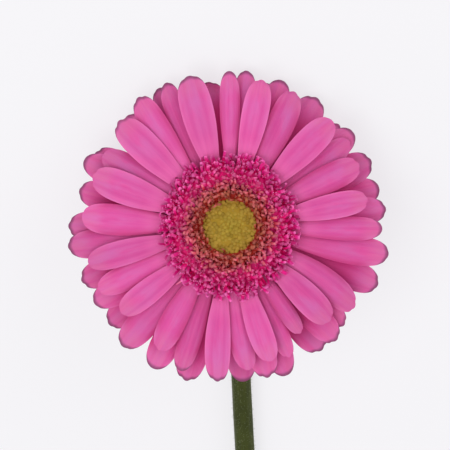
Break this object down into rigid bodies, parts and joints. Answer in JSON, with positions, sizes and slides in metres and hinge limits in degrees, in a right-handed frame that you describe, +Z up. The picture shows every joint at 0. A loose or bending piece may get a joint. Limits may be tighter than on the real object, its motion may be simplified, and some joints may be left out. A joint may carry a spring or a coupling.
{
  "type": "cut gerbera flower",
  "caption": "Cut gerbera daisy lying on a table: a round pink flower head with layered petals and an olive centre on a long, bare, gently curved green stem.",
  "frame": {"origin": "middle of the flower's footprint on the table it lies on", "axes": "+Y runs from the stem's cut end towards the flower head, +Z is up from the table and +X is to the right for an eye that looks along +Y. The head faces up and leans 32 degrees towards +Y."},
  "size_m": [0.1102, 0.5483, 0.0663],
  "materials": {
    "stem": "matt, finely ribbed and downy dark green",
    "involucre": "matt, downy green bracts",
    "ray_florets": "satin, finely veined pink petals",
    "crown_florets": "satin magenta",
    "disc_florets": "satin dark red with salmon tips",
    "disc_buds": "matt olive"
  },
  "bodies": {
    "root": {"stem": "stem", "involucre": "involucre", "ray_florets": "ray_florets", "crown_florets": "crown_florets", "disc_florets": "disc_florets", "disc_buds": "disc_buds"}
  },
  "joints": []
}
